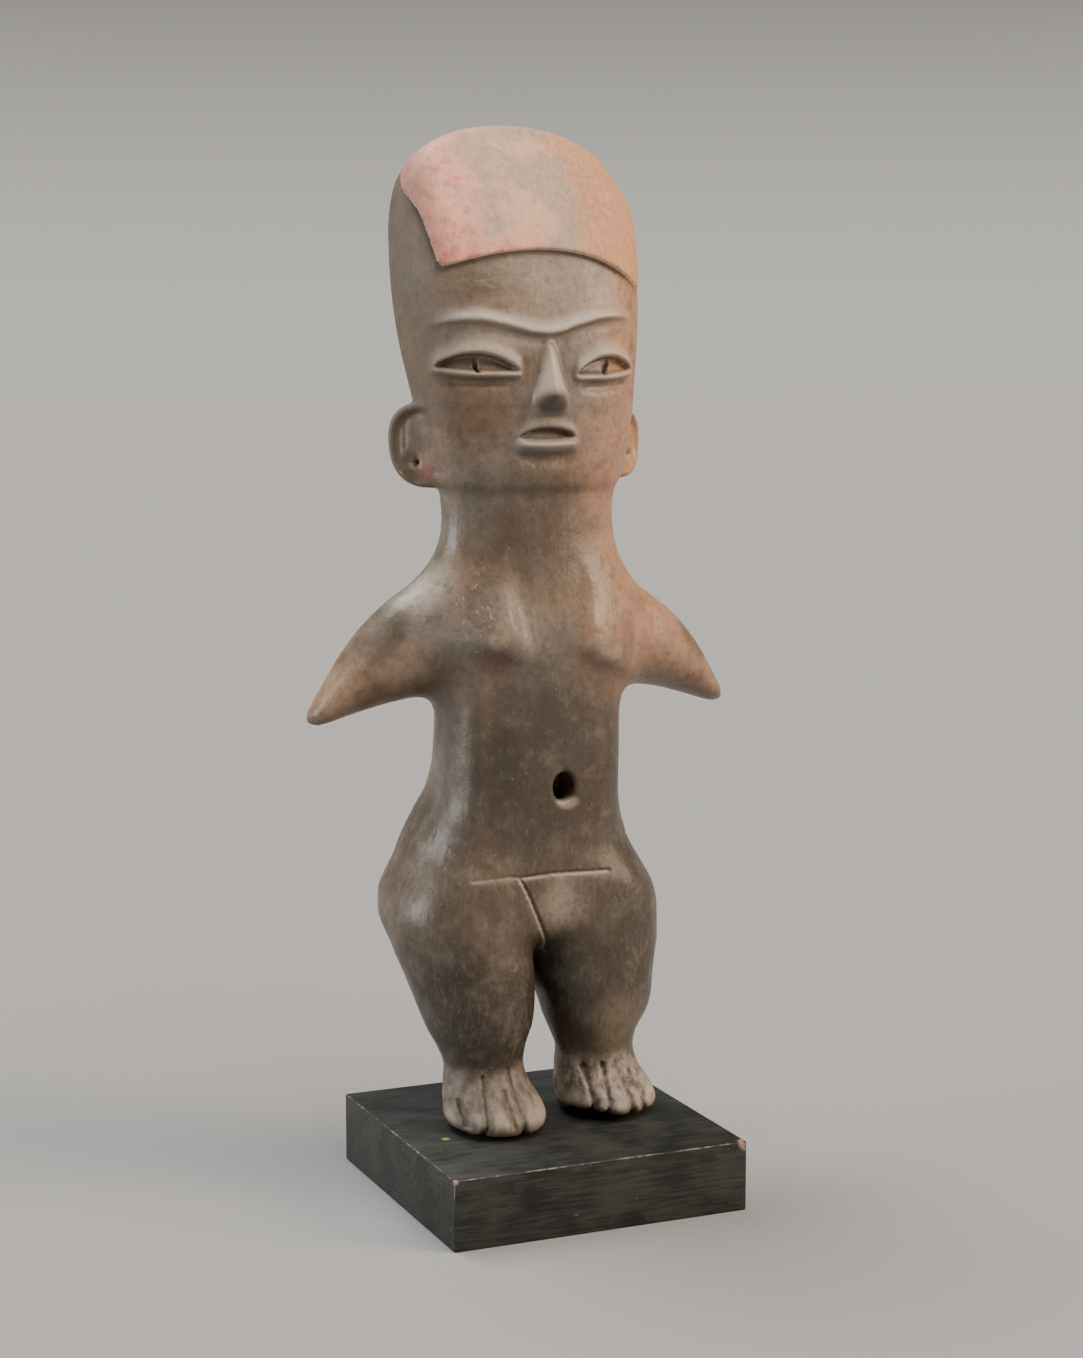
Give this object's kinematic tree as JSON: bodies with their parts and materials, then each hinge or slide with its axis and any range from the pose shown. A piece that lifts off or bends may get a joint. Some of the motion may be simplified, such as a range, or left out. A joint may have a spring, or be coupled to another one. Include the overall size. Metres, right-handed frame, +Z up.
{
  "type": "ceramic female figure on a wooden base",
  "caption": "Standing female figure in burnished earthenware with a tall wedge-shaped head, stub arms and full hips, on a square black-painted wooden base.",
  "frame": {"origin": "centre of the base's underside, on the surface the object stands on", "axes": "+Z up, the figure faces -Y, its own right hand is towards -X"},
  "size_m": [0.1636, 0.112, 0.384],
  "materials": {
    "ceramic": "burnished grey-brown earthenware, soft shine on the rounded parts, with fire clouds and red pigment",
    "painted_wood": "charcoal-black satin paint over wood, edges worn thin"
  },
  "bodies": {
    "root": {"figure": "ceramic", "base": "painted_wood"}
  },
  "joints": []
}
